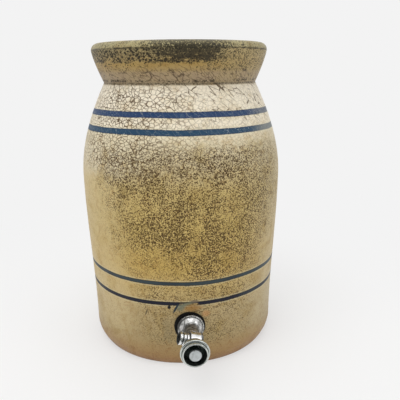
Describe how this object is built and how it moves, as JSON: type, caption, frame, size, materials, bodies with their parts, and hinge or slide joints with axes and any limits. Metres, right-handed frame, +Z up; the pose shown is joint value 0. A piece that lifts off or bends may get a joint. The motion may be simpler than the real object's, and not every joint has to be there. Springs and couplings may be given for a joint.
{
  "type": "stoneware water cooler with tap",
  "caption": "Round stoneware water pot with a flared collar, blue slip bands and a push-button tap low on the front.",
  "frame": {"origin": "centre of the foot, on the surface that the pot stands on", "axes": "+Z up through the mouth, -Y out along the tap towards its button, +X to the right of someone facing the tap"},
  "size_m": [0.2478, 0.3054, 0.37],
  "materials": {
    "stoneware": "crazed satin glaze, cream on the shoulder and ochre on the belly",
    "blue_slip": "worn satin slip",
    "black_rubber": "aged matte",
    "nickel": "worn bright plating with tarnish in the coves",
    "worn_nickel": "satin, rubbed dull by fingers",
    "brass": "dull, unplated",
    "spring_steel": "drawn wire",
    "packing": "greased cord packing"
  },
  "bodies": {
    "pot": {"jar": "stoneware", "slip_bands": "blue_slip", "outer_washer": "black_rubber", "tap_body": "nickel", "spout": "nickel", "guard_cup": "nickel", "gland_nut": "brass", "gland_follower": "brass", "packing_ring": "packing", "return_spring": "spring_steel", "spring_retainer": "brass", "inner_washer": "black_rubber", "backing_washer": "brass", "lock_nut": "brass"},
    "plunger": {"push_button": "worn_nickel", "valve_stem": "brass", "valve_disc": "black_rubber", "disc_holder": "brass", "disc_nut": "brass"}
  },
  "joints": [
    {"name": "button_press", "type": "slide", "parent": "pot", "child": "plunger", "axis": [0, 1, 0], "range_m": [0, 0.004], "stiffness_N_per_m": 1200, "springref_m": -0.006, "deforming": ["return_spring"]}
  ]
}
